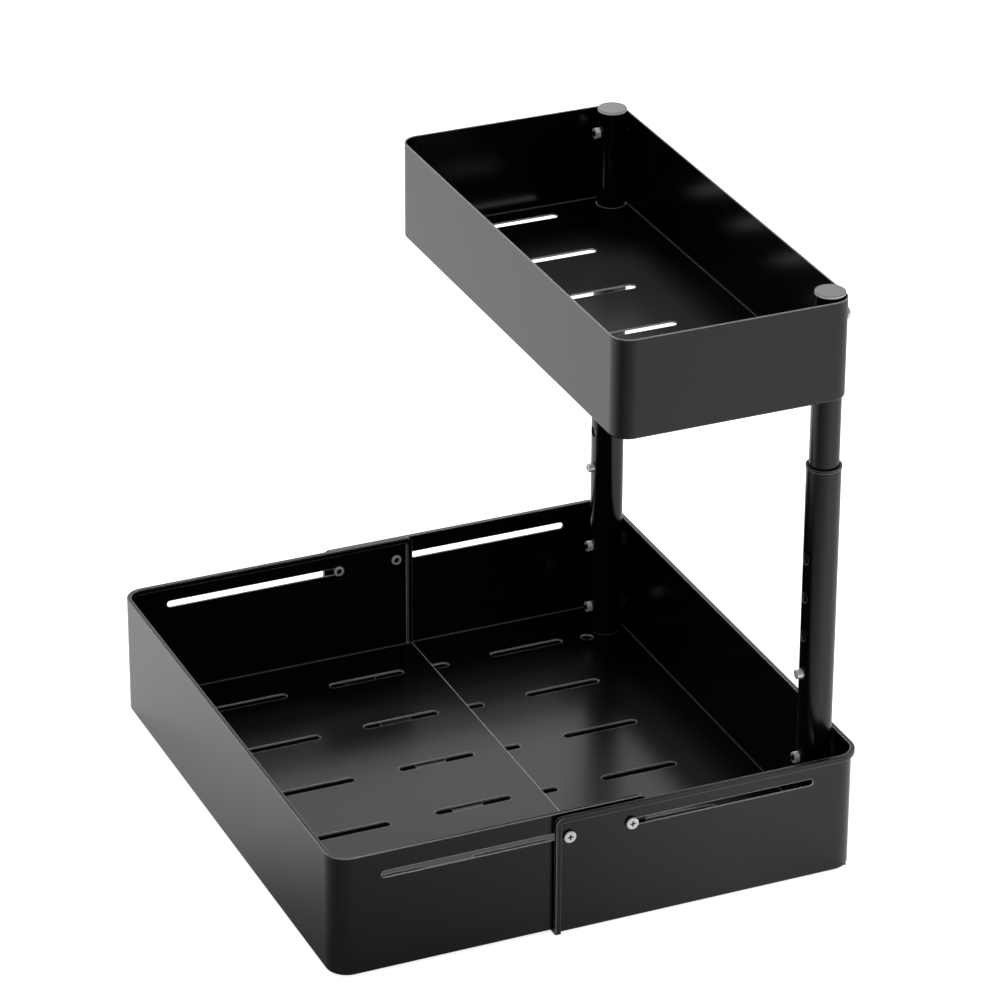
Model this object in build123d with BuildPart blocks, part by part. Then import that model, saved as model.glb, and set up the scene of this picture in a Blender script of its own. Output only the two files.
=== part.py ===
"""Two-tier under-sink organizer in sheet steel: a lower tray whose two halves slide one inside the
other, and an upper tray on two telescopic posts. Millimetres, +X from the extension tray towards
the posts, +Y to the rear, origin at the middle of the footprint on the surface that it stands on."""
import os

from build123d import *

# Lower tray
depth = 385.0              # over the base tray's side walls, front to rear
half_length = 209.2        # closed end to open edge, the same on both halves
half_overlap = 63.2        # of the two halves, pulled right out
rim_height = 83.4          # base tray, from its underside
sheet = 1.0                # steel sheet of all trays
corner_radius = 14.0       # upright corners of the lower tray, outside
bend_radius = 1.8          # floor into wall, outside
wall_gap = 1.6             # between the side walls of the two halves
floor_gap = 0.3            # between the floors of the two halves

# Folded rim of the lower tray
hem_height = 4.0
hem_stand = 2.2            # how far the fold stands off its wall
hem_round = 0.9
hem_inner_round = 1.0      # inside the turn of the fold
inner_rim_round = 0.4
free_corner_radius = 5.0   # where the rim turns down the open edge

# Upper tray
upper_width = 157.4        # along X
upper_post_inset = 12.7    # post axis to the upper tray's front or rear wall
upper_wall = 66.3
upper_underside = 320.6    # height over the surface
upper_corner_radius = 12.0
plain_edge_round = 0.3

# Floor slots of all trays
floor_slot_length = 53.2
floor_slot_width = 6.0
floor_slot_rows = 6
slot_row_inset = 39.5      # first and last rows to the base tray's side walls
slot_column_shares = (0.363, 0.769)  # of a half's length, from its closed end
slot_edge_round = 0.35     # rolled by the punch, on the side that shows

# Posts
post_inset = 34.5          # post axis to the base tray's side wall
lower_tube_radius = 11.0
lower_tube_wall = 1.2
lower_tube_top = 272.6
upper_tube_radius = 9.5
upper_tube_wall = 1.0
upper_tube_tail = 11.5     # how far the upper tube goes on below the lowest lock hole
tube_lip_height = 1.8      # rolled lip at the lower tube's mouth
tube_lip_stand = 0.4
tube_edge_round = 0.3
post_wall_gap = 2.4        # lower tube to end wall, filled by the spacers at the bolts
foot_gap = 0.3             # lower tube to floor
foot_hole_radius = 4.0     # round hole in the base's floor beside each post
foot_hole_step_x = 16.7    # from the post's axis, towards the open edge
foot_hole_step_y = 7.3     # from the post's axis, towards the middle
tray_gap = 0.1             # upper tube to the upper tray's end wall
tube_stand = 1.2           # how far the upper tube stands over the upper tray's rim
floor_hole_gap = 0.15      # around the upper tube, in the upper tray's floor

# Height lock
lowest_lock_height = 127.5
lock_pitch = 27.0
lock_holes = 4
lock_hole_radius = 3.5
upper_lock_hole_radius = 2.5
lock_screw_radius = 3.15
lock_screw_stand = 3.5     # how far its head stands off the tube
lock_screw_round = 0.6
lock_tip_gap = 0.25        # between its tip and the upper tube
cross_length = 4.0         # cross recess of every screw
cross_width = 1.1
cross_depth = 1.3

# Post caps
cap_radius = 9.7
cap_thickness = 1.6
cap_round = 0.5
cap_spigot_length = 8.0
cap_spigot_gap = 0.1
cap_spigot_wall = 1.5

# Saddle spacers between the lower tubes and the end wall
spacer_radius = 5.5
spacer_wrap = 1.2          # how far the saddle reaches round the tube
spacer_gap = 0.05

# Screws and nuts
screw_radius = 1.95
screw_hole_radius = 2.2
head_radius = 4.1
head_height = 2.1
head_round = 0.8
tip_chamfer = 0.4
tip_length = 0.9           # how far a tip comes through its nut
nut_across = 7.0
nut_height = 3.2
nut_bevel = 0.25           # how far its corners reach past the flats, after the bevel
round_nut_radius = 3.5     # low round nuts of the width screws
round_nut_height = 1.2
round_nut_round = 0.5
round_nut_sink = 0.3       # how far their screws end under the nut's face
thread_gap = 0.05
slide_gap = 0.25           # under the heads and nuts that slide along a wall

# Where the screws are
base_screw_inset = 9.6     # from the base tray's open edge
extension_screw_inset = 11.4  # from the extension tray's open edge
width_screw_drop = 14.7    # from the base tray's rim
width_slot_inset = 32.0    # closed end to the near end of its slot
low_bolt_height = 20.5
high_bolt_drop = 15.9      # from the base tray's rim
upper_bolt_drop = 13.8     # from the upper tray's rim

overrun = 20.0             # how far a cut runs past what it cuts

extended_length = 2 * half_length - half_overlap
left_x = -(extended_length + hem_stand) / 2
right_x = left_x + extended_length
base_open_x = right_x - half_length
extension_open_x = left_x + half_length
extension_floor = sheet + floor_gap
extension_rim = extension_floor + rim_height
extension_depth = depth - 2 * (sheet + wall_gap)
post_x = right_x - sheet - post_wall_gap - lower_tube_radius
post_y = depth / 2 - post_inset
foot_hole_x = post_x - foot_hole_step_x
foot_hole_y = post_y - foot_hole_step_y
upper_right_x = post_x + upper_tube_radius + tray_gap + sheet
upper_left_x = upper_right_x - upper_width
upper_depth = 2 * (post_y + upper_post_inset)
upper_rim = upper_underside + upper_wall
width_screw_z = rim_height - width_screw_drop
high_bolt_height = rim_height - high_bolt_drop
upper_tube_foot = lowest_lock_height - upper_tube_tail
upper_tube_top = upper_rim + tube_stand
base_screw_x = base_open_x + base_screw_inset
extension_screw_x = extension_open_x - extension_screw_inset
upper_bolt_z = upper_rim - upper_bolt_drop
floor_slot_pitch = (depth - 2 * slot_row_inset) / (floor_slot_rows - 1)
slot_columns = [share * half_length for share in slot_column_shares]

SIDES = {"front": -1, "rear": 1}

os.makedirs("parts", exist_ok=True)


def write(piece, name):
    """Labels a finished piece and writes it under its own name."""
    piece.label = name
    export_step(piece, f"parts/{name}.step")


def half_plan(open_x, closed_x, width, radius, level):
    """Plan of a half tray: square corners at its open edge, round ones at its closed end."""
    with BuildSketch(Plane.XY.offset(level)) as plan:
        with Locations(((open_x + closed_x) / 2, 0)):
            Rectangle(abs(closed_x - open_x), width)
        ends = plan.vertices().group_by(Axis.X)
        fillet(ends[-1] if closed_x > open_x else ends[0], radius)
    return plan.sketch


def half_shell(open_x, closed_x, width, floor_z):
    """Floor, end wall and side walls of a half tray, bent from one sheet."""
    with BuildPart() as shell:
        extrude(half_plan(open_x, closed_x, width, corner_radius, floor_z), amount=rim_height)
        floor_face = shell.faces().sort_by(Axis.Z)[0]
        bends = [e for e in floor_face.edges() if abs(e.center().X - open_x) > bend_radius]
        fillet(bends, bend_radius)
        rim_face = shell.faces().sort_by(Axis.Z)[-1]
        open_face = shell.faces().sort_by(Axis.X)[0 if closed_x > open_x else -1]
        offset(amount=-sheet, openings=[rim_face, open_face])
    return shell.part


def hem_ring(open_x, closed_x, width, outer_offset, inner_offset, rim_z):
    """Folded edge along the rim, between two offsets from the wall's outer face."""
    toward = 1 if closed_x > open_x else -1
    plans = [
        half_plan(open_x, closed_x + toward * d, width + 2 * d, corner_radius + d, rim_z - hem_height)
        for d in (outer_offset, inner_offset)
    ]
    with BuildPart() as ring:
        extrude(plans[0], amount=hem_height)
        extrude(plans[1], amount=hem_height, mode=Mode.SUBTRACT)
    return ring.part


def open_edge_hem(open_x, toward, y_low, y_high, z_low, z_high):
    """Folded edge down one side wall's open edge."""
    with BuildPart() as hem:
        with BuildSketch(Plane.XY.offset(z_low)):
            with Locations((open_x + toward * hem_height / 2, (y_low + y_high) / 2)):
                Rectangle(hem_height, y_high - y_low)
        extrude(amount=z_high - z_low)
    return hem.part


def hem_foot(side):
    """Foot of the base tray's folded edge, which fills the outside of the bend under it."""
    bend_y = side * (depth / 2 - bend_radius)
    with BuildPart() as foot:
        with BuildSketch(Plane.YZ.offset(base_open_x)):
            with Locations((side * (depth / 2 + (hem_stand - bend_radius) / 2), bend_radius / 2)):
                Rectangle(bend_radius + hem_stand, bend_radius)
            with Locations((bend_y, bend_radius)):
                Circle(bend_radius - sheet / 2, mode=Mode.SUBTRACT)
        extrude(amount=hem_height)
    return foot.part


def free_corner(open_x, toward, rim_z):
    """What is cut away where the rim turns down the open edges, right across the tray."""
    with BuildPart() as waste:
        with BuildSketch(Plane.XZ.offset(-depth / 2 - overrun)):
            with Locations((open_x, rim_z)):
                Rectangle(2 * free_corner_radius, 2 * free_corner_radius)
            with Locations((open_x + toward * free_corner_radius, rim_z - free_corner_radius)):
                Circle(free_corner_radius, mode=Mode.SUBTRACT)
        extrude(amount=depth + 2 * overrun)
    return waste.part


def is_seam(edge, open_x):
    """Whether an upright edge only joins two smooth stretches of the fold, away from the open edge."""
    upright = abs(edge.position_at(1).Z - edge.position_at(0).Z) > hem_height / 2
    return upright and abs(edge.center().X - open_x) > half_length / 2


def round_hem(tray, open_x, toward, width, outer, inner, rim_z):
    """Rounds the fold: its own face all round, and the sharp edge on the wall's other side.
    outer and inner are the offsets of those two faces from the wall's outer face."""
    fold_y = width / 2 + outer
    wall_y = width / 2 + inner
    notch = tray.edges().filter_by(Axis.Y).filter_by(
        lambda e: abs(e.center().X - open_x - toward * hem_height) < sheet / 2
        and abs(e.center().Z - rim_z + hem_height) < sheet / 2
    )
    fillet(notch, hem_inner_round)
    fold_faces = tray.faces().filter_by(
        lambda f: abs(abs(f.center().Y) - fold_y) < sheet / 10 and f.center().Z > rim_z / 2
    )
    fillet([e for f in fold_faces for e in f.outer_wire().edges() if not is_seam(e, open_x)], hem_round)
    rim_edges = tray.edges().filter_by(
        lambda e: abs(abs(e.center().Y) - wall_y) < sheet / 10
        and abs(e.center().Z - rim_z) < sheet / 10
    )
    fillet(rim_edges, inner_rim_round)


def wall_cuts(hole_x, slot_from, slot_to):
    """Screw hole and slide slot, cut through the front and the rear wall at once."""
    with BuildPart() as cuts:
        with BuildSketch(Plane.XZ.offset(-depth / 2 - overrun)):
            with Locations((hole_x, width_screw_z)):
                Circle(screw_hole_radius)
            with Locations(((slot_from + slot_to) / 2, width_screw_z)):
                SlotOverall(abs(slot_to - slot_from), 2 * screw_hole_radius)
        extrude(amount=depth + 2 * overrun)
    return cuts.part


def floor_slots(columns, level):
    """Rows of slots through a floor, one column for each place along X."""
    with BuildPart() as slots:
        with BuildSketch(Plane.XY.offset(level - overrun)):
            for column in columns:
                with Locations((column, 0)):
                    with GridLocations(0, floor_slot_pitch, 1, floor_slot_rows):
                        SlotOverall(floor_slot_length, floor_slot_width)
        extrude(amount=2 * overrun)
    return slots.part


def round_slots(tray, level, wall_offsets):
    """Rounds the edges of the floor's holes on its upper side, and of the slide slots on both sides
    of their walls, but not the screw holes. wall_offsets are the two sides' places along Y."""
    floor_top = tray.faces().filter_by(
        lambda f: abs(f.center().Z - level - sheet) < sheet / 10 and f.normal_at().Z > 0.99
    )
    sides = tray.faces().filter_by(Axis.Y).filter_by(
        lambda f: any(abs(abs(f.center().Y) - offset) < sheet / 10 for offset in wall_offsets)
    )
    holes = [w for f in floor_top + sides for w in f.inner_wires() if w.length > 8 * screw_hole_radius]
    fillet([e for w in holes for e in w.edges()], slot_edge_round)


def holes_along_x(x_low, x_high, radius, places):
    """Round holes along X, at (y, z) places."""
    with BuildPart() as holes:
        with BuildSketch(Plane.YZ.offset(x_low)):
            with Locations(*places):
                Circle(radius)
        extrude(amount=x_high - x_low)
    return holes.part


def tube(radius, wall, z_low, z_high, y):
    """Plain round tube on a post's axis."""
    with BuildPart() as pipe:
        with BuildSketch(Plane.XY.offset(z_low)):
            with Locations((post_x, y)):
                Circle(radius)
                Circle(radius - wall, mode=Mode.SUBTRACT)
        extrude(amount=z_high - z_low)
    return pipe.part


def pan_screw(seat, length):
    """Pan-headed cross screw: the head stands on the seat plane, the shank goes back from it."""
    along = Axis(seat.origin, seat.z_dir)
    with BuildPart() as screw:
        with BuildSketch(seat):
            Circle(screw_radius)
        extrude(amount=-length)
        chamfer(screw.faces().sort_by(along)[0].edges(), tip_chamfer)
        with BuildSketch(seat):
            Circle(head_radius)
        extrude(amount=head_height)
        fillet(screw.faces().sort_by(along)[-1].edges(), head_round)
        with BuildSketch(seat.offset(head_height)):
            Rectangle(cross_length, cross_width)
            Rectangle(cross_width, cross_length)
        extrude(amount=-cross_depth, mode=Mode.SUBTRACT)
    return screw.part


def saddle_spacer(y, z):
    """Round spacer with a hollow face, which lets a bolt pull a tube against the flat end wall."""
    with BuildPart() as spacer:
        with BuildSketch(Plane.YZ.offset(right_x - sheet)):
            with Locations((y, z)):
                Circle(spacer_radius)
                Circle(screw_hole_radius, mode=Mode.SUBTRACT)
        extrude(amount=-post_wall_gap - spacer_wrap)
        with BuildSketch(Plane.XY.offset(z - spacer_radius)):
            with Locations((post_x, y)):
                Circle(lower_tube_radius + spacer_gap)
        extrude(amount=2 * spacer_radius, mode=Mode.SUBTRACT)
    return spacer.part


def hex_nut(seat):
    """Hexagon nut on the seat plane, with its far corners turned to a round bevel."""
    with BuildPart() as nut:
        with BuildSketch(seat):
            RegularPolygon(nut_across / 2, 6, major_radius=False)
        extrude(amount=nut_height)
        with BuildSketch(seat):
            Circle(nut_across / 2 + nut_bevel)
        extrude(amount=nut_height, mode=Mode.INTERSECT)
        with BuildSketch(seat):
            Circle(screw_radius + thread_gap)
        extrude(amount=nut_height, mode=Mode.SUBTRACT)
    return nut.part


def round_nut(seat):
    """Low round nut on the seat plane, with a rounded rim."""
    along = Axis(seat.origin, seat.z_dir)
    with BuildPart() as nut:
        with BuildSketch(seat):
            Circle(round_nut_radius)
        extrude(amount=round_nut_height)
        fillet(nut.faces().sort_by(along)[-1].edges(), round_nut_round)
        with BuildSketch(seat):
            Circle(screw_radius + thread_gap)
        extrude(amount=round_nut_height, mode=Mode.SUBTRACT)
    return nut.part


# Base tray: the outer half, its rim folded outward
with BuildPart() as base_tray:
    add(half_shell(base_open_x, right_x, depth, 0))
    add(hem_ring(base_open_x, right_x, depth, hem_stand, 0, rim_height))
    for side in SIDES.values():
        fold = sorted((side * depth / 2, side * (depth / 2 + hem_stand)))
        add(open_edge_hem(base_open_x, 1, *fold, 0, rim_height))
        add(hem_foot(side))
    add(free_corner(base_open_x, 1, rim_height), mode=Mode.SUBTRACT)
    round_hem(base_tray, base_open_x, 1, depth, hem_stand, -sheet, rim_height)
    add(
        wall_cuts(base_screw_x, extension_screw_x - screw_hole_radius, right_x - width_slot_inset),
        mode=Mode.SUBTRACT,
    )
    add(floor_slots([right_x - column for column in slot_columns], 0), mode=Mode.SUBTRACT)
    foot_holes = [(foot_hole_x, side * foot_hole_y) for side in SIDES.values()]
    with BuildSketch():
        with Locations(*foot_holes):
            Circle(foot_hole_radius)
    extrude(amount=sheet, mode=Mode.SUBTRACT)
    round_slots(base_tray, 0, (depth / 2, depth / 2 - sheet))
    add(
        holes_along_x(
            right_x - overrun,
            right_x + overrun,
            screw_hole_radius,
            [(side * post_y, z) for side in SIDES.values() for z in (low_bolt_height, high_bolt_height)],
        ),
        mode=Mode.SUBTRACT,
    )
write(base_tray.part, "base_tray")

# Extension tray: the inner half, its rim folded inward
extension_wall_y = extension_depth / 2 - sheet
with BuildPart() as extension_tray:
    add(half_shell(extension_open_x, left_x, extension_depth, extension_floor))
    add(hem_ring(extension_open_x, left_x, extension_depth, -sheet, -sheet - hem_stand, extension_rim))
    for side in SIDES.values():
        fold = sorted((side * extension_wall_y, side * (extension_wall_y - hem_stand)))
        add(open_edge_hem(extension_open_x, -1, *fold, extension_floor + bend_radius, extension_rim))
    add(free_corner(extension_open_x, -1, extension_rim), mode=Mode.SUBTRACT)
    round_hem(extension_tray, extension_open_x, -1, extension_depth, -sheet - hem_stand, 0, extension_rim)
    add(
        wall_cuts(extension_screw_x, left_x + width_slot_inset, base_screw_x + screw_hole_radius),
        mode=Mode.SUBTRACT,
    )
    add(floor_slots([left_x + column for column in slot_columns], extension_floor), mode=Mode.SUBTRACT)
    round_slots(extension_tray, extension_floor, (extension_depth / 2, extension_wall_y))
write(extension_tray.part, "extension_tray")

# Upper tray: four walls, a plain edge, and a round hole at each end of its right side for the tubes
with BuildPart() as upper_tray:
    with BuildSketch(Plane.XY.offset(upper_underside)):
        with Locations(((upper_left_x + upper_right_x) / 2, 0)):
            RectangleRounded(upper_width, upper_depth, upper_corner_radius)
    extrude(amount=upper_wall)
    fillet(upper_tray.faces().sort_by(Axis.Z)[0].edges(), bend_radius)
    offset(amount=-sheet, openings=upper_tray.faces().sort_by(Axis.Z)[-1])
    fillet(upper_tray.faces().sort_by(Axis.Z)[-1].edges(), plain_edge_round)
    add(floor_slots(((upper_left_x + upper_right_x) / 2,), upper_underside), mode=Mode.SUBTRACT)
    round_slots(upper_tray, upper_underside, ())
    with BuildSketch(Plane.XY.offset(upper_underside)):
        with Locations((post_x, -post_y), (post_x, post_y)):
            Circle(upper_tube_radius + floor_hole_gap)
    extrude(amount=bend_radius, mode=Mode.SUBTRACT)
    add(
        holes_along_x(
            upper_right_x - overrun,
            upper_right_x + overrun,
            screw_hole_radius,
            [(side * post_y, upper_bolt_z) for side in SIDES.values()],
        ),
        mode=Mode.SUBTRACT,
    )
write(upper_tray.part, "upper_tray")

lock_heights = [lowest_lock_height + lock_pitch * k for k in range(lock_holes)]
for name, side in SIDES.items():
    y = side * post_y

    # Lower tube: stands on the base tray's floor, bolted to its end wall, lock holes to the left
    with BuildPart() as lower_post:
        add(tube(lower_tube_radius, lower_tube_wall, sheet + foot_gap, lower_tube_top, y))
        add(
            tube(
                lower_tube_radius + tube_lip_stand,
                lower_tube_wall + tube_lip_stand,
                lower_tube_top - tube_lip_height,
                lower_tube_top,
                y,
            )
        )
        mouth = lower_post.faces().sort_by(Axis.Z)[-1]
        foot = lower_post.faces().sort_by(Axis.Z)[0]
        fillet(mouth.edges() + foot.outer_wire().edges(), tube_edge_round)
        add(
            holes_along_x(
                post_x - overrun,
                post_x + overrun,
                screw_hole_radius,
                [(y, low_bolt_height), (y, high_bolt_height)],
            ),
            mode=Mode.SUBTRACT,
        )
        add(
            holes_along_x(post_x - overrun, post_x, lock_hole_radius, [(y, z) for z in lock_heights]),
            mode=Mode.SUBTRACT,
        )
        lock_edges = lower_post.edges().filter_by(
            lambda e: abs(e.bounding_box().size.Z - 2 * lock_hole_radius) < sheet / 10
            and abs(e.bounding_box().min.X - post_x + lower_tube_radius) < sheet / 10
        )
        fillet(lock_edges, tube_edge_round)
    write(lower_post.part, f"{name}_lower_post")

    # Upper tube: slides in the lower one, goes up through the upper tray's floor to its rim
    with BuildPart() as upper_post:
        add(tube(upper_tube_radius, upper_tube_wall, upper_tube_foot, upper_tube_top, y))
        add(
            holes_along_x(post_x - overrun, post_x + overrun, screw_hole_radius, [(y, upper_bolt_z)]),
            mode=Mode.SUBTRACT,
        )
        add(
            holes_along_x(post_x - overrun, post_x, upper_lock_hole_radius, [(y, lowest_lock_height)]),
            mode=Mode.SUBTRACT,
        )
    write(upper_post.part, f"{name}_upper_post")

    # Post cap: a flat disc over the tube's end, with a spigot inside the tube
    with BuildPart() as post_cap:
        with BuildSketch(Plane.XY.offset(upper_tube_top)):
            with Locations((post_x, y)):
                Circle(cap_radius)
        extrude(amount=cap_thickness)
        fillet(post_cap.faces().sort_by(Axis.Z)[-1].edges(), cap_round)
        spigot_radius = upper_tube_radius - upper_tube_wall - cap_spigot_gap
        spigot_low = upper_tube_top - cap_spigot_length
        add(tube(spigot_radius, cap_spigot_wall, spigot_low, upper_tube_top, y))
    write(post_cap.part, f"{name}_post_cap")

    # Height lock screw: fills the lowest lock hole and backs out to the left
    tube_side = Plane(origin=(post_x - lower_tube_radius, y, lowest_lock_height), z_dir=(-1, 0, 0))
    tip_inside = lower_tube_radius - upper_tube_radius - lock_tip_gap
    with BuildPart() as lock_screw:
        with BuildSketch(tube_side.offset(-tip_inside)):
            Circle(lock_screw_radius)
        extrude(amount=tip_inside + lock_screw_stand)
        fillet(lock_screw.faces().sort_by(Axis.X)[0].edges(), lock_screw_round)
        with BuildSketch(tube_side.offset(lock_screw_stand)):
            Rectangle(cross_length, cross_width)
            Rectangle(cross_width, cross_length)
        extrude(amount=-cross_depth, mode=Mode.SUBTRACT)
    write(lock_screw.part, f"{name}_height_lock_screw")

    # Bolts along X: head outside an end wall, through the tube, nut on the tube's left side
    post_bolts = {
        "low_post": (right_x, lower_tube_radius, low_bolt_height),
        "high_post": (right_x, lower_tube_radius, high_bolt_height),
        "upper_tray": (upper_right_x, upper_tube_radius, upper_bolt_z),
    }
    for place, (head_x, tube_radius, z) in post_bolts.items():
        nut_x = post_x - tube_radius
        head_seat = Plane(origin=(head_x, y, z), z_dir=(1, 0, 0))
        nut_seat = Plane(origin=(nut_x, y, z), z_dir=(-1, 0, 0))
        write(pan_screw(head_seat, head_x - nut_x + nut_height + tip_length), f"{name}_{place}_bolt")
        write(hex_nut(nut_seat), f"{name}_{place}_nut")

    # Saddle spacers on the two bolts of the lower tube
    for place, z in (("low", low_bolt_height), ("high", high_bolt_height)):
        write(saddle_spacer(y, z), f"{name}_{place}_post_spacer")

    # Width screws along Y: head outside the base tray, nut inside the extension tray
    width_screws = {
        "base_width": (base_screw_x, depth / 2, extension_wall_y - slide_gap),
        "extension_width": (extension_screw_x, depth / 2 + slide_gap, extension_wall_y),
    }
    for place, (x, head_y, nut_y) in width_screws.items():
        head_seat = Plane(origin=(x, side * head_y, width_screw_z), z_dir=(0, side, 0))
        nut_seat = Plane(origin=(x, side * nut_y, width_screw_z), z_dir=(0, -side, 0))
        screw_length = head_y - nut_y + round_nut_height - round_nut_sink
        write(pan_screw(head_seat, screw_length), f"{name}_{place}_screw")
        write(round_nut(nut_seat), f"{name}_{place}_nut")
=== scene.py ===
from math import cos, radians, sin

import bpy
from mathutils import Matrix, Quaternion, Vector


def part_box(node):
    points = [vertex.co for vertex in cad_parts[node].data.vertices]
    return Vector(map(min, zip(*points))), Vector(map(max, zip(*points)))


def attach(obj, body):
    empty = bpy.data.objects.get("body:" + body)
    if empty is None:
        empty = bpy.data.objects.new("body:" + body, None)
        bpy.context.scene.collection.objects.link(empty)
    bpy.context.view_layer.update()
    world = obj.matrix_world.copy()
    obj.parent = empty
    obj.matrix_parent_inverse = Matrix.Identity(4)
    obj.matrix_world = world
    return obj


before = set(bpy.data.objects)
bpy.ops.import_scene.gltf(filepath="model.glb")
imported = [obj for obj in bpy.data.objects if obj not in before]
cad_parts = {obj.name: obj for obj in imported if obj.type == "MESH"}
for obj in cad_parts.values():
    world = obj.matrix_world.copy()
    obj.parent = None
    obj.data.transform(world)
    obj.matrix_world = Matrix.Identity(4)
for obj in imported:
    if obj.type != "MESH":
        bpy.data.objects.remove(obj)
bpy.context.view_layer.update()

# The camera stands in front of the organizer, to the left of it and well above, far off with a
# long lens, so that the trays' upright edges stay almost parallel.
camera_turn = radians(-23.62)
camera_rise = radians(26.86)
camera_roll = radians(0.24)
camera_distance = 3.140
camera_aim = Vector((0.0139, 0.0, 0.2030))

towards_camera = Vector((
    sin(camera_turn) * cos(camera_rise),
    -cos(camera_turn) * cos(camera_rise),
    sin(camera_rise),
))
camera_data = bpy.data.cameras.new("camera")
camera_data.lens = 177.11
camera_data.sensor_width = 36.0
camera_data.clip_start = 0.05
camera = bpy.data.objects.new("camera", camera_data)
camera.location = camera_aim + towards_camera * camera_distance
camera.rotation_mode = "QUATERNION"
camera.rotation_quaternion = (
    towards_camera.to_track_quat("Z", "Y") @ Quaternion((0, 0, 1), camera_roll)
)
bpy.context.scene.collection.objects.link(camera)
bpy.context.scene.camera = camera
bpy.context.scene.view_settings.view_transform = "Standard"


# The three trays are bent from steel sheet and powder coated in satin black. The powder melts into
# a faint orange peel with a fine grain in it. Along the edges its colour is lightened, a painted
# highlight for the light that the edges catch.
def add_node(tree, kind, at, values=None, **settings):
    """Adds a node at a place in the editor, sets its own settings and its unlinked inputs."""
    node = tree.nodes.new(kind)
    node.location = at
    for name, value in settings.items():
        setattr(node, name, value)
    for name, value in (values or {}).items():
        node.inputs[name].default_value = value
    return node


def new_material(name):
    """An empty material with its output and Principled shader joined."""
    material = bpy.data.materials.new(name)
    material.use_nodes = True
    tree = material.node_tree
    tree.nodes.clear()
    output = add_node(tree, "ShaderNodeOutputMaterial", (600, 0))
    shader = add_node(tree, "ShaderNodeBsdfPrincipled", (300, 0))
    tree.links.new(shader.outputs["BSDF"], output.inputs["Surface"])
    return material, tree, shader


def new_group(name, inputs, outputs):
    """A shader node group, from the value of each float input and the kind of each output."""
    group = bpy.data.node_groups.new(name, "ShaderNodeTree")
    group.interface.new_socket(name="Vector", in_out="INPUT", socket_type="NodeSocketVector")
    for label, value in inputs.items():
        socket = group.interface.new_socket(
            name=label, in_out="INPUT", socket_type="NodeSocketFloat"
        )
        socket.default_value = value
    for label, kind in outputs.items():
        group.interface.new_socket(name=label, in_out="OUTPUT", socket_type=kind)
    entry = add_node(group, "NodeGroupInput", (-900, 0))
    result = add_node(group, "NodeGroupOutput", (900, 0))
    return group, entry, result


def build_coating_group():
    """Melted powder coating: its height, its roughness and how light it is, over the surface."""
    group, entry, result = new_group(
        "melted powder coating",
        {"Peel per metre": 420.0, "Grain per metre": 3200.0, "Roughness": 0.38, "Spread": 0.04},
        {"Height": "NodeSocketFloat", "Roughness": "NodeSocketFloat", "Tint": "NodeSocketFloat"},
    )
    link = group.links.new
    peel = add_node(group, "ShaderNodeTexNoise", (-600, 200), {"Detail": 2.0, "Roughness": 0.5})
    grain = add_node(group, "ShaderNodeTexNoise", (-600, -50), {"Detail": 3.0, "Roughness": 0.6})
    cloud = add_node(
        group, "ShaderNodeTexNoise", (-600, -300), {"Scale": 9.0, "Detail": 3.0, "Roughness": 0.55}
    )
    for texture in (peel, grain, cloud):
        link(entry.outputs["Vector"], texture.inputs["Vector"])
    link(entry.outputs["Peel per metre"], peel.inputs["Scale"])
    link(entry.outputs["Grain per metre"], grain.inputs["Scale"])

    fine = add_node(group, "ShaderNodeMath", (-350, -50), {1: 0.35}, operation="MULTIPLY")
    height = add_node(group, "ShaderNodeMath", (-100, 100), operation="ADD")
    link(grain.outputs["Fac"], fine.inputs[0])
    link(peel.outputs["Fac"], height.inputs[0])
    link(fine.outputs[0], height.inputs[1])
    link(height.outputs[0], result.inputs["Height"])

    both = add_node(group, "ShaderNodeMath", (-350, -250), operation="ADD")
    centred = add_node(group, "ShaderNodeMath", (-100, -250), {1: 1.0}, operation="SUBTRACT")
    rough = add_node(group, "ShaderNodeMath", (150, -200), operation="MULTIPLY_ADD")
    link(cloud.outputs["Fac"], both.inputs[0])
    link(grain.outputs["Fac"], both.inputs[1])
    link(both.outputs[0], centred.inputs[0])
    link(centred.outputs[0], rough.inputs[0])
    link(entry.outputs["Spread"], rough.inputs[1])
    link(entry.outputs["Roughness"], rough.inputs[2])
    link(rough.outputs[0], result.inputs["Roughness"])

    tint = add_node(
        group, "ShaderNodeMapRange", (150, -450),
        {"From Min": 0.3, "From Max": 0.7, "To Min": 0.0, "To Max": 1.0},
    )
    link(cloud.outputs["Fac"], tint.inputs["Value"])
    link(tint.outputs["Result"], result.inputs["Tint"])
    return group


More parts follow.
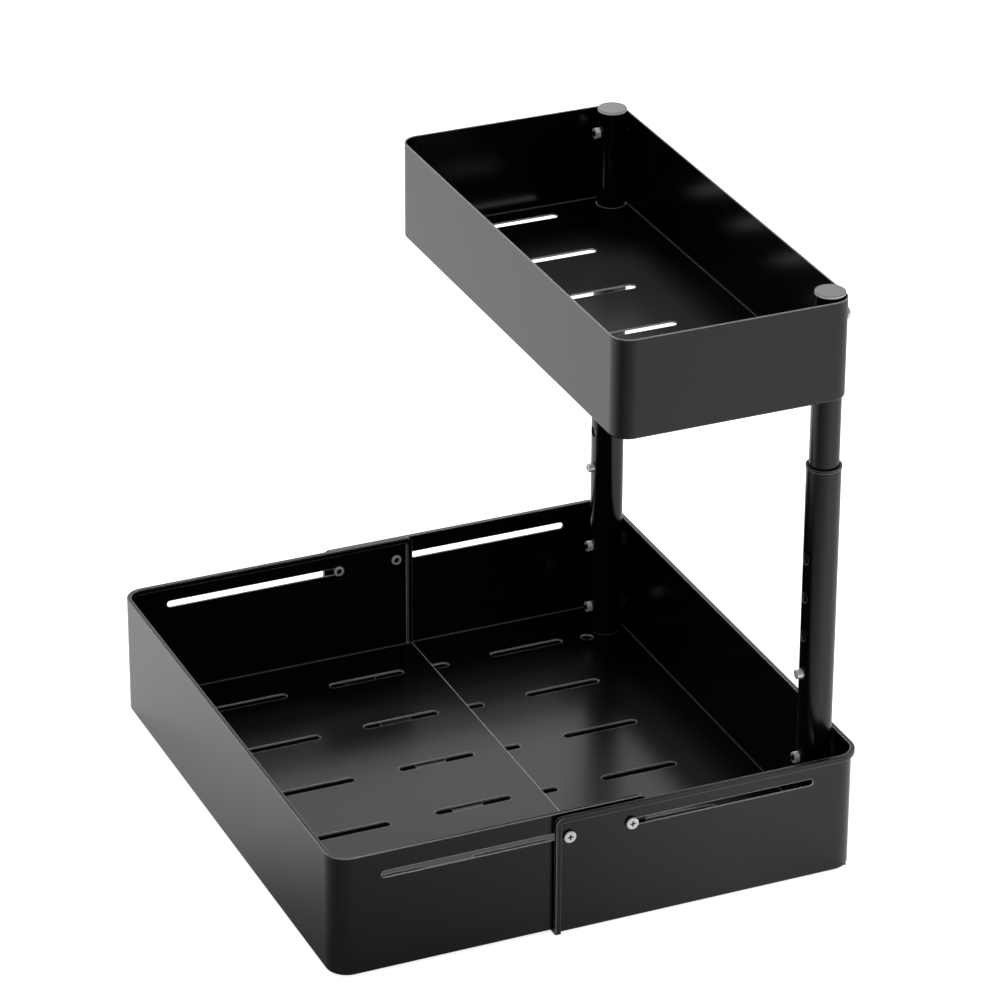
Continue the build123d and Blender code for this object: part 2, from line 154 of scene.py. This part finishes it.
def coated_steel(name, dark, light, roughness, spread, peel, grain, depth, edge_width, edge_highlight_level):
    """Powder-coated steel between two near blacks, with its own grain and a painted highlight on
    its edges.
    """
    material, tree, shader = new_material(name)
    place = add_node(tree, "ShaderNodeTexCoord", (-900, 0))
    coating = add_node(tree, "ShaderNodeGroup", (-600, 0), node_tree=coating_group)
    coating.inputs["Peel per metre"].default_value = peel
    coating.inputs["Grain per metre"].default_value = grain
    coating.inputs["Roughness"].default_value = roughness
    coating.inputs["Spread"].default_value = spread
    colour = add_node(
        tree, "ShaderNodeMix", (-250, 200), data_type="RGBA", clamp_factor=True
    )
    colour.inputs["A"].default_value = (*dark, 1.0)
    colour.inputs["B"].default_value = (*light, 1.0)
    bump = add_node(
        tree, "ShaderNodeBump", (-250, -250), {"Strength": 0.35, "Distance": depth}
    )
    # Painted highlight: where the bevelled normal turns away from the true one, near the edges, the
    # colour is lightened.
    turned = add_node(tree, "ShaderNodeBevel", (-900, 500), {"Radius": edge_width}, samples=4)
    facing = add_node(tree, "ShaderNodeNewGeometry", (-900, 300))
    agree = add_node(tree, "ShaderNodeVectorMath", (-600, 450), operation="DOT_PRODUCT")
    painted_highlight_mask = add_node(
        tree, "ShaderNodeMapRange", (-400, 450), {"From Min": 0.990, "From Max": 0.90}
    )
    painted_highlight_colour = add_node(tree, "ShaderNodeMix", (50, 300), data_type="RGBA", clamp_factor=True)
    painted_highlight_colour.inputs["B"].default_value = (edge_highlight_level, edge_highlight_level, edge_highlight_level, 1.0)
    link = tree.links.new
    link(turned.outputs["Normal"], agree.inputs[0])
    link(facing.outputs["Normal"], agree.inputs[1])
    link(agree.outputs["Value"], painted_highlight_mask.inputs["Value"])
    link(painted_highlight_mask.outputs["Result"], painted_highlight_colour.inputs["Factor"])
    link(place.outputs["Object"], coating.inputs["Vector"])
    link(coating.outputs["Tint"], colour.inputs["Factor"])
    link(colour.outputs["Result"], painted_highlight_colour.inputs["A"])
    link(painted_highlight_colour.outputs["Result"], shader.inputs["Base Color"])
    link(coating.outputs["Roughness"], shader.inputs["Roughness"])
    link(coating.outputs["Height"], bump.inputs["Height"])
    link(bump.outputs["Normal"], shader.inputs["Normal"])
    return material


def give_finish(material, names):
    """Puts a finish on CAD nodes, all over."""
    for name in names:
        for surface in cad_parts[name].material_slots:
            surface.material = material


coating_group = build_coating_group()
tray_coat = coated_steel(
    "satin black powder coat",
    dark=(0.0008, 0.0008, 0.0009),
    light=(0.0020, 0.0020, 0.0022),
    roughness=0.21,
    spread=0.04,
    peel=420.0,
    grain=3200.0,
    depth=0.00004,
    edge_width=0.0008,
    edge_highlight_level=0.95,
)
give_finish(tray_coat, ["base_tray", "extension_tray", "upper_tray"])

# Two telescopic posts carry the upper tray: a 22 mm lower tube bolted to the base tray's end wall
# and a 19 mm upper tube that slides in it. Both are drawn steel tube with the same coat, a little
# smoother.
sides = ("front", "rear")
tube_coat = coated_steel(
    "satin black tube coat",
    dark=(0.0010, 0.0010, 0.0011),
    light=(0.0024, 0.0024, 0.0026),
    roughness=0.20,
    spread=0.03,
    peel=520.0,
    grain=3600.0,
    depth=0.00003,
    edge_width=0.0005,
    edge_highlight_level=0.60,
)
give_finish(tube_coat, [f"{side}_{part}_post" for side in sides for part in ("lower", "upper")])

# A moulded plug closes the top of each post: a flat grey disc of nylon over the tube's end, held
# by its spigot. Its face has the fine spark-eroded texture of the mould. Its rim is painted near
# white, a painted highlight.
cap_rim_height = 0.3890
cap_face_height = 0.3895
cap_plastic, cap_tree, cap_shader = new_material("grey moulded nylon")
cap_place = add_node(cap_tree, "ShaderNodeTexCoord", (-900, 0))
cap_grain = add_node(
    cap_tree, "ShaderNodeTexNoise", (-600, 0), {"Scale": 2600.0, "Detail": 2.0, "Roughness": 0.55}
)
cap_colour = add_node(cap_tree, "ShaderNodeMix", (-250, 200), data_type="RGBA")
cap_colour.inputs["A"].default_value = (0.205, 0.205, 0.205, 1.0)
cap_colour.inputs["B"].default_value = (0.265, 0.265, 0.265, 1.0)
cap_rough = add_node(
    cap_tree, "ShaderNodeMapRange", (-250, -50), {"To Min": 0.38, "To Max": 0.52}
)
cap_bump = add_node(
    cap_tree, "ShaderNodeBump", (-250, -350), {"Strength": 0.3, "Distance": 0.00003}
)
cap_axes = add_node(cap_tree, "ShaderNodeSeparateXYZ", (-600, 450))
# Painted highlight: below the face, on the rim, the colour is near white.
cap_rim_highlight_mask = add_node(
    cap_tree, "ShaderNodeMapRange", (-250, 500),
    {"From Min": cap_rim_height, "From Max": cap_face_height},
)
cap_rim_highlight = add_node(cap_tree, "ShaderNodeMix", (50, 300), data_type="RGBA")
cap_rim_highlight.inputs["A"].default_value = (0.85, 0.85, 0.85, 1.0)
link = cap_tree.links.new
link(cap_place.outputs["Object"], cap_axes.inputs["Vector"])
link(cap_axes.outputs["Z"], cap_rim_highlight_mask.inputs["Value"])
link(cap_rim_highlight_mask.outputs["Result"], cap_rim_highlight.inputs["Factor"])
link(cap_colour.outputs["Result"], cap_rim_highlight.inputs["B"])
link(cap_place.outputs["Object"], cap_grain.inputs["Vector"])
link(cap_grain.outputs["Fac"], cap_colour.inputs["Factor"])
link(cap_grain.outputs["Fac"], cap_rough.inputs["Value"])
link(cap_grain.outputs["Fac"], cap_bump.inputs["Height"])
link(cap_rim_highlight.outputs["Result"], cap_shader.inputs["Base Color"])
link(cap_rough.outputs["Result"], cap_shader.inputs["Roughness"])
link(cap_bump.outputs["Normal"], cap_shader.inputs["Normal"])
give_finish(cap_plastic, [f"{side}_post_cap" for side in sides])

# Saddle spacers of black moulded plastic sit on the post bolts, between the tube and the flat
# wall. They are small and matt, with the mould's fine grain.
spacer_plastic = coated_steel(
    "black moulded plastic",
    dark=(0.012, 0.012, 0.012),
    light=(0.022, 0.022, 0.022),
    roughness=0.50,
    spread=0.08,
    peel=900.0,
    grain=4200.0,
    depth=0.00003,
    edge_width=0.0002,
    edge_highlight_level=0.05,
)
give_finish(
    spacer_plastic, [f"{side}_{place}_post_spacer" for side in sides for place in ("low", "high")]
)

# Screws, bolts, nuts and lock screws are turned and rolled steel, nickel plated: bright, with fine
# marks of the tool and a faint haze in the plating. On the bolts and the width screws, the threads,
# the recesses and the sides of the width screws' heads are painted black as painted shade beside
# the bright faces.
def plated_steel(name, axis=None, dark_below=0.0, bright_above=0.0):
    """Nickel-plated steel. Along an axis, out from the middle, it turns from black painted shade to
    bright plating.
    """
    material, tree, shader = new_material(name)
    link = tree.links.new
    place = add_node(tree, "ShaderNodeTexCoord", (-1200, 0))
    haze = add_node(
        tree, "ShaderNodeTexNoise", (-900, 150), {"Scale": 700.0, "Detail": 3.0, "Roughness": 0.6}
    )
    marks = add_node(
        tree, "ShaderNodeTexNoise", (-900, -200), {"Scale": 5200.0, "Detail": 2.0, "Roughness": 0.5}
    )
    colour = add_node(tree, "ShaderNodeMix", (-550, 200), data_type="RGBA")
    colour.inputs["A"].default_value = (0.80, 0.80, 0.81, 1.0)
    colour.inputs["B"].default_value = (0.92, 0.92, 0.93, 1.0)
    rough = add_node(tree, "ShaderNodeMapRange", (-250, -50), {"To Min": 0.16, "To Max": 0.30})
    bump = add_node(
        tree, "ShaderNodeBump", (-250, -350), {"Strength": 0.25, "Distance": 0.00001}
    )
    shader.inputs["Metallic"].default_value = 0.45
    link(place.outputs["Object"], haze.inputs["Vector"])
    link(place.outputs["Object"], marks.inputs["Vector"])
    link(haze.outputs["Fac"], colour.inputs["Factor"])
    link(haze.outputs["Fac"], rough.inputs["Value"])
    link(marks.outputs["Fac"], bump.inputs["Height"])
    link(rough.outputs["Result"], shader.inputs["Roughness"])
    link(bump.outputs["Normal"], shader.inputs["Normal"])
    if axis is None:
        link(colour.outputs["Result"], shader.inputs["Base Color"])
        return material
    # Painted shade: near the middle along the axis the colour turns black.
    axes = add_node(tree, "ShaderNodeSeparateXYZ", (-900, 450))
    distance = add_node(tree, "ShaderNodeMath", (-700, 450), operation="ABSOLUTE")
    painted_shade_fade = add_node(
        tree, "ShaderNodeMapRange", (-500, 450), {"From Min": dark_below, "From Max": bright_above}
    )
    plating_and_painted_shade = add_node(tree, "ShaderNodeMix", (-250, 300), data_type="RGBA")
    plating_and_painted_shade.inputs["A"].default_value = (0.012, 0.012, 0.012, 1.0)
    link(place.outputs["Object"], axes.inputs["Vector"])
    link(axes.outputs[axis], distance.inputs[0])
    link(distance.outputs[0], painted_shade_fade.inputs["Value"])
    link(painted_shade_fade.outputs["Result"], plating_and_painted_shade.inputs["Factor"])
    link(colour.outputs["Result"], plating_and_painted_shade.inputs["B"])
    link(plating_and_painted_shade.outputs["Result"], shader.inputs["Base Color"])
    return material


bright_steel = plated_steel("nickel-plated steel")
give_finish(
    bright_steel,
    [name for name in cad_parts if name.endswith(("_nut", "_lock_screw"))],
)
bolt_steel = plated_steel("nickel-plated bolt steel", "X", dark_below=0.155, bright_above=0.165)
give_finish(bolt_steel, [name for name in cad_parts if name.endswith("_bolt")])
width_screw_steel = plated_steel(
    "nickel-plated screw steel", "Y", dark_below=0.1937, bright_above=0.1941
)
give_finish(width_screw_steel, [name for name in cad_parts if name.endswith("_width_screw")])

# The organizer stands on a plain white floor that runs out of sight. The black faces mirror it. In
# mirrored rays alone the floor glows and is painted lighter and darker in sectors round the
# organizer, darkest on the camera's side: a painted reflection.
floor_reach = 12.0
floor_drop = 0.0005
floor_glow_seen = 0.82
painted_reflection_glow_level = 0.50
bpy.ops.object.select_all(action="DESELECT")
bpy.ops.mesh.primitive_plane_add(size=2 * floor_reach, location=(0, 0, 0))
floor = bpy.context.object
floor.name = "floor"
for corner in floor.data.vertices:
    corner.co.z = -floor_drop
floor_paint, floor_tree, floor_shader = new_material("white floor")
floor_shader.inputs["Roughness"].default_value = 0.9
floor_shader.inputs["Specular IOR Level"].default_value = 0.0
floor_shader.inputs["Emission Color"].default_value = (1.0, 1.0, 1.0, 1.0)
floor_rays = add_node(floor_tree, "ShaderNodeLightPath", (-900, -200))
floor_place = add_node(floor_tree, "ShaderNodeTexCoord", (-1200, 100))
floor_round = add_node(floor_tree, "ShaderNodeTexGradient", (-900, 100), gradient_type="RADIAL")
painted_reflection_sectors = add_node(floor_tree, "ShaderNodeValToRGB", (-650, 150))
# Painted reflection: these levels light the floor only in mirrored rays.
painted_reflection_levels = [  # share of a turn round the organizer, and how light the floor is there
    (0.000, 0.70), (0.069, 0.30), (0.111, 0.18), (0.183, 0.34), (0.250, 0.55),
    (0.322, 0.92), (0.450, 0.80), (0.567, 0.50), (0.680, 0.85), (0.780, 0.98),
    (0.858, 0.98), (0.944, 0.85), (1.000, 0.70),
]
stops = painted_reflection_sectors.color_ramp.elements
for turn, level in painted_reflection_levels[1:-1]:
    stops.new(turn)
for stop, (turn, level) in zip(stops, painted_reflection_levels):
    stop.position = turn
    stop.color = (level, level, level, 1.0)
floor_mirrored = add_node(floor_tree, "ShaderNodeMath", (-350, 50), operation="MULTIPLY")
floor_seen = add_node(
    floor_tree, "ShaderNodeMath", (-100, -200), {1: floor_glow_seen}, operation="MULTIPLY_ADD"
)
painted_reflection_glow = add_node(
    floor_tree, "ShaderNodeMath", (-350, -100), {1: painted_reflection_glow_level}, operation="MULTIPLY"
)
floor_colour = add_node(floor_tree, "ShaderNodeMix", (-100, 300), data_type="RGBA")
floor_colour.inputs["A"].default_value = (0.86, 0.86, 0.86, 1.0)
floor_pale = add_node(
    floor_tree, "ShaderNodeMix", (-350, 350), {"Factor": 1.0},
    data_type="RGBA", blend_type="MULTIPLY",
)
floor_pale.inputs["B"].default_value = (0.85, 0.85, 0.85, 1.0)
link = floor_tree.links.new
link(floor_place.outputs["Object"], floor_round.inputs["Vector"])
link(floor_round.outputs["Fac"], painted_reflection_sectors.inputs["Fac"])
link(painted_reflection_sectors.outputs["Color"], floor_mirrored.inputs[0])
link(floor_rays.outputs["Is Glossy Ray"], floor_mirrored.inputs[1])
link(floor_rays.outputs["Is Camera Ray"], floor_seen.inputs[0])
link(floor_mirrored.outputs[0], painted_reflection_glow.inputs[0])
link(painted_reflection_glow.outputs[0], floor_seen.inputs[2])
link(painted_reflection_sectors.outputs["Color"], floor_pale.inputs["A"])
link(floor_pale.outputs["Result"], floor_colour.inputs["B"])
link(floor_seen.outputs[0], floor_shader.inputs["Emission Strength"])
link(floor_rays.outputs["Is Glossy Ray"], floor_colour.inputs["Factor"])
link(floor_colour.outputs["Result"], floor_shader.inputs["Base Color"])
floor.data.materials.append(floor_paint)

# Under each half of the lower tray the floor lies in deep shade, which shows dark through the
# slots. Two thin black mats stand for it, a little smaller than the trays, and follow their halves.
mat_margin = 0.006
mat_thickness = 0.0002
base_mat_top = -0.00005
extension_mat_top = 0.00095
mat_paint, _, mat_shader = new_material("deep shade")
mat_shader.inputs["Base Color"].default_value = (0.002, 0.002, 0.002, 1.0)
mat_shader.inputs["Roughness"].default_value = 0.9
mat_shader.inputs["Specular IOR Level"].default_value = 0.0
for tray_name, body, top in (
    ("base_tray", "base", base_mat_top),
    ("extension_tray", "extension", extension_mat_top),
):
    low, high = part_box(tray_name)
    length = high[0] - low[0] - 2 * mat_margin
    depth = high[1] - low[1] - 2 * mat_margin
    bpy.ops.object.select_all(action="DESELECT")
    bpy.ops.mesh.primitive_cube_add(
        size=1.0,
        location=((low[0] + high[0]) / 2, 0.0, top - mat_thickness / 2),
        scale=(length, depth, mat_thickness),
    )
    bpy.ops.object.transform_apply(location=True, rotation=True, scale=True)
    mat = bpy.context.object
    mat.name = f"shade_under_{tray_name}"
    mat.data.materials.append(mat_paint)
    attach(mat, body)

# A white card stands behind the organizer, out of the camera's sight. It is low enough that the
# lower tray's floor mirrors it and the upper tray's floor doesn't.
card_place = (0.44, 1.008, 0.38)
card_width = 0.90
card_height = 0.76
card_turn = radians(-23.6)
bpy.ops.object.select_all(action="DESELECT")
bpy.ops.mesh.primitive_plane_add(
    size=1.0, location=card_place, rotation=(radians(90), 0.0, card_turn)
)
card = bpy.context.object
card.name = "white card"
card.scale = (card_width, card_height, 1.0)
bpy.ops.object.transform_apply(location=True, rotation=True, scale=True)
card_paint, _, card_shader = new_material("white card")
card_shader.inputs["Base Color"].default_value = (0.0, 0.0, 0.0, 1.0)
card_shader.inputs["Roughness"].default_value = 0.9
card_shader.inputs["Specular IOR Level"].default_value = 0.0
card_shader.inputs["Emission Color"].default_value = (1.0, 1.0, 1.0, 1.0)
card_shader.inputs["Emission Strength"].default_value = 1.2
card.data.materials.append(card_paint)
card.visible_camera = False
card.visible_diffuse = False
card.visible_shadow = False

# The studio is a white room: one large soft lamp above, and a small bright one behind on the right,
# which draws thin light lines along the rims and the rolled edges of the slots.
room_for_camera = 1.0
room_for_lighting = 0.62
room_in_mirrors = 0.08
room = bpy.data.worlds.new("white room")
room.use_nodes = True
bpy.context.scene.world = room
room_tree = room.node_tree
room_tree.nodes.clear()
room_output = add_node(room_tree, "ShaderNodeOutputWorld", (600, 0))
room_light = add_node(room_tree, "ShaderNodeBackground", (300, 0))
room_light.inputs["Color"].default_value = (1.0, 1.0, 1.0, 1.0)
room_rays = add_node(room_tree, "ShaderNodeLightPath", (-600, 0))
room_seen = add_node(
    room_tree, "ShaderNodeMath", (-350, 0),
    {1: room_for_camera - room_for_lighting, 2: room_for_lighting}, operation="MULTIPLY_ADD",
)
room_level = add_node(
    room_tree, "ShaderNodeMath", (-100, 0),
    {1: room_in_mirrors - room_for_lighting}, operation="MULTIPLY_ADD",
)
link = room_tree.links.new
link(room_rays.outputs["Is Camera Ray"], room_seen.inputs[0])
link(room_rays.outputs["Is Glossy Ray"], room_level.inputs[0])
link(room_seen.outputs[0], room_level.inputs[2])
link(room_level.outputs[0], room_light.inputs["Strength"])
link(room_light.outputs["Background"], room_output.inputs["Surface"])


def soft_lamp(name, place, aim, size, watts):
    """A square soft lamp that faces a point."""
    lamp_data = bpy.data.lights.new(name, "AREA")
    lamp_data.shape = "RECTANGLE"
    lamp_data.size = size
    lamp_data.size_y = size
    lamp_data.energy = watts
    lamp = bpy.data.objects.new(name, lamp_data)
    lamp.location = place
    lamp.rotation_euler = (Vector(place) - Vector(aim)).to_track_quat("Z", "Y").to_euler()
    bpy.context.scene.collection.objects.link(lamp)


soft_lamp("overhead_lamp", (-0.6, 0.4, 2.6), aim=(0.0, 0.0, 0.15), size=1.8, watts=8.0)
soft_lamp("rim_lamp", (0.55, 1.35, 1.75), aim=(0.0, 0.0, 0.20), size=0.6, watts=10.0)
